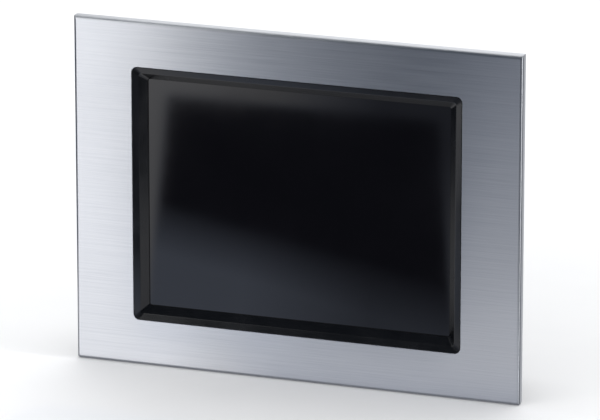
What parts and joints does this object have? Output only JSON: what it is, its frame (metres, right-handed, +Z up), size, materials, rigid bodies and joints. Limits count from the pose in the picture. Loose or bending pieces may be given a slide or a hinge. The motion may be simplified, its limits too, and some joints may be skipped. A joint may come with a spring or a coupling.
{
  "type": "built-in touch panel",
  "caption": "Cabinet-mounted operator touch panel with a brushed steel front, recessed black-framed touch screen, sheet-metal rear housing and screw clamps.",
  "frame": {"origin": "middle of the touch glass's front face, level with the back edge of the folded steel front", "axes": "+X right and +Z up as the operator sees the screen, +Y into the cabinet"},
  "size_m": [0.366, 0.0693, 0.282],
  "materials": {
    "front_steel": "horizontally brushed stainless, satin",
    "galvanised_steel": "galvanised sheet, dull",
    "cast_frame": "die-cast, as cast",
    "seal_rubber": "matt black closed-cell rubber",
    "frame_plastic": "satin black moulding",
    "screen_glass": "gloss, dark behind",
    "display_cell": "gloss",
    "white_plastic": "matt white reflector",
    "circuit_board": "satin green solder resist",
    "heat_sink_aluminium": "plain extruded",
    "cable_foil": "amber film",
    "housing_paint": "fine-textured dark grey powder coat",
    "zinc_steel": "zinc plated",
    "clamp_zinc": "die-cast zinc, satin",
    "pad_plastic": "satin black",
    "socket_metal": "tin-plated shells",
    "black_plastic": "satin black",
    "plug_plastic": "satin green",
    "card_plastic": "satin dark grey"
  },
  "bodies": {
    "panel": {"front_panel": "front_steel", "support_frame": "cast_frame", "panel_seal": "seal_rubber", "bezel_frame": "frame_plastic", "touch_gasket": "seal_rubber", "touch_glass": "screen_glass", "display_seal": "seal_rubber", "display_frame": "galvanised_steel", "display_cell": "display_cell", "backlight_unit": "white_plastic", "display_bracket_left": "galvanised_steel", "display_bracket_right": "galvanised_steel", "carrier_plate": "galvanised_steel", "main_board": "circuit_board", "heat_sink": "heat_sink_aluminium", "power_board": "circuit_board", "backlight_driver": "circuit_board", "touch_controller": "circuit_board", "display_cable": "cable_foil", "touch_flex_tail": "cable_foil", "power_cable": "black_plastic", "housing_shell": "housing_paint", "rear_cover": "housing_paint", "network_socket_left": "socket_metal", "network_socket_right": "socket_metal", "usb_socket_stack": "socket_metal", "video_socket": "socket_metal", "serial_socket": "socket_metal", "power_header": "black_plastic", "switch_body": "black_plastic", "earth_screw": "zinc_steel", "card_bay": "black_plastic", "rear_cover_screw_1": "zinc_steel", "rear_cover_screw_2": "zinc_steel", "rear_cover_screw_3": "zinc_steel", "rear_cover_screw_4": "zinc_steel", "rear_cover_screw_5": "zinc_steel", "rear_cover_screw_6": "zinc_steel"},
    "clamp_top_left": {"clamp_body_top_left": "clamp_zinc"},
    "pad_top_left": {"clamp_pad_top_left": "pad_plastic"},
    "screw_top_left": {"clamp_screw_top_left": "zinc_steel"},
    "clamp_top_right": {"clamp_body_top_right": "clamp_zinc"},
    "pad_top_right": {"clamp_pad_top_right": "pad_plastic"},
    "screw_top_right": {"clamp_screw_top_right": "zinc_steel"},
    "clamp_bottom_left": {"clamp_body_bottom_left": "clamp_zinc"},
    "pad_bottom_left": {"clamp_pad_bottom_left": "pad_plastic"},
    "screw_bottom_left": {"clamp_screw_bottom_left": "zinc_steel"},
    "clamp_bottom_right": {"clamp_body_bottom_right": "clamp_zinc"},
    "pad_bottom_right": {"clamp_pad_bottom_right": "pad_plastic"},
    "screw_bottom_right": {"clamp_screw_bottom_right": "zinc_steel"},
    "clamp_left": {"clamp_body_left": "clamp_zinc"},
    "pad_left": {"clamp_pad_left": "pad_plastic"},
    "screw_left": {"clamp_screw_left": "zinc_steel"},
    "clamp_right": {"clamp_body_right": "clamp_zinc"},
    "pad_right": {"clamp_pad_right": "pad_plastic"},
    "screw_right": {"clamp_screw_right": "zinc_steel"},
    "power_plug": {"power_plug": "plug_plastic"},
    "switch_rocker": {"switch_rocker": "black_plastic"},
    "memory_card": {"memory_card": "card_plastic"}
  },
  "joints": [
    {"name": "hook_top_left", "type": "slide", "parent": "panel", "child": "clamp_top_left", "axis": [1, 0, 0], "range_m": [0, 0.006]},
    {"name": "feed_top_left", "type": "slide", "parent": "clamp_top_left", "child": "pad_top_left", "axis": [0, -1, 0], "range_m": [0, 0.0075]},
    {"name": "turn_top_left", "type": "hinge", "parent": "pad_top_left", "child": "screw_top_left", "pos_m": [-0.138, 0.04, 0.12], "axis": [0, -1, 0], "range_deg": [0, 3375]},
    {"name": "hook_top_right", "type": "slide", "parent": "panel", "child": "clamp_top_right", "axis": [1, 0, 0], "range_m": [0, 0.006]},
    {"name": "feed_top_right", "type": "slide", "parent": "clamp_top_right", "child": "pad_top_right", "axis": [0, -1, 0], "range_m": [0, 0.0075]},
    {"name": "turn_top_right", "type": "hinge", "parent": "pad_top_right", "child": "screw_top_right", "pos_m": [0.138, 0.04, 0.12], "axis": [0, -1, 0], "range_deg": [0, 3375]},
    {"name": "hook_bottom_left", "type": "slide", "parent": "panel", "child": "clamp_bottom_left", "axis": [-1, 0, 0], "range_m": [0, 0.006]},
    {"name": "feed_bottom_left", "type": "slide", "parent": "clamp_bottom_left", "child": "pad_bottom_left", "axis": [0, -1, 0], "range_m": [0, 0.0075]},
    {"name": "turn_bottom_left", "type": "hinge", "parent": "pad_bottom_left", "child": "screw_bottom_left", "pos_m": [-0.138, 0.04, -0.12], "axis": [0, -1, 0], "range_deg": [0, 3375]},
    {"name": "hook_bottom_right", "type": "slide", "parent": "panel", "child": "clamp_bottom_right", "axis": [-1, 0, 0], "range_m": [0, 0.006]},
    {"name": "feed_bottom_right", "type": "slide", "parent": "clamp_bottom_right", "child": "pad_bottom_right", "axis": [0, -1, 0], "range_m": [0, 0.0075]},
    {"name": "turn_bottom_right", "type": "hinge", "parent": "pad_bottom_right", "child": "screw_bottom_right", "pos_m": [0.138, 0.04, -0.12], "axis": [0, -1, 0], "range_deg": [0, 3375]},
    {"name": "hook_left", "type": "slide", "parent": "panel", "child": "clamp_left", "axis": [0, 0, 1], "range_m": [0, 0.006]},
    {"name": "feed_left", "type": "slide", "parent": "clamp_left", "child": "pad_left", "axis": [0, -1, 0], "range_m": [0, 0.0075]},
    {"name": "turn_left", "type": "hinge", "parent": "pad_left", "child": "screw_left", "pos_m": [-0.162, 0.04, 0], "axis": [0, -1, 0], "range_deg": [0, 3375]},
    {"name": "hook_right", "type": "slide", "parent": "panel", "child": "clamp_right", "axis": [0, 0, 1], "range_m": [0, 0.006]},
    {"name": "feed_right", "type": "slide", "parent": "clamp_right", "child": "pad_right", "axis": [0, -1, 0], "range_m": [0, 0.0075]},
    {"name": "turn_right", "type": "hinge", "parent": "pad_right", "child": "screw_right", "pos_m": [0.162, 0.04, 0], "axis": [0, -1, 0], "range_deg": [0, 3375]},
    {"name": "plug_slide", "type": "slide", "parent": "panel", "child": "power_plug", "axis": [0, 0, -1], "range_m": [0, 0.012]},
    {"name": "rocker_tilt", "type": "hinge", "parent": "panel", "child": "switch_rocker", "pos_m": [-0.078, 0.034, -0.1115], "axis": [0, -1, 0], "range_deg": [0, 22]},
    {"name": "card_slide", "type": "slide", "parent": "panel", "child": "memory_card", "axis": [1, 0, 0], "range_m": [0, 0.042]}
  ],
  "couplings": [
    {"joint": "turn_top_left", "follows": "feed_top_left", "rad_per_m": 7854},
    {"joint": "turn_top_right", "follows": "feed_top_right", "rad_per_m": 7854},
    {"joint": "turn_bottom_left", "follows": "feed_bottom_left", "rad_per_m": 7854},
    {"joint": "turn_bottom_right", "follows": "feed_bottom_right", "rad_per_m": 7854},
    {"joint": "turn_left", "follows": "feed_left", "rad_per_m": 7854},
    {"joint": "turn_right", "follows": "feed_right", "rad_per_m": 7854}
  ]
}
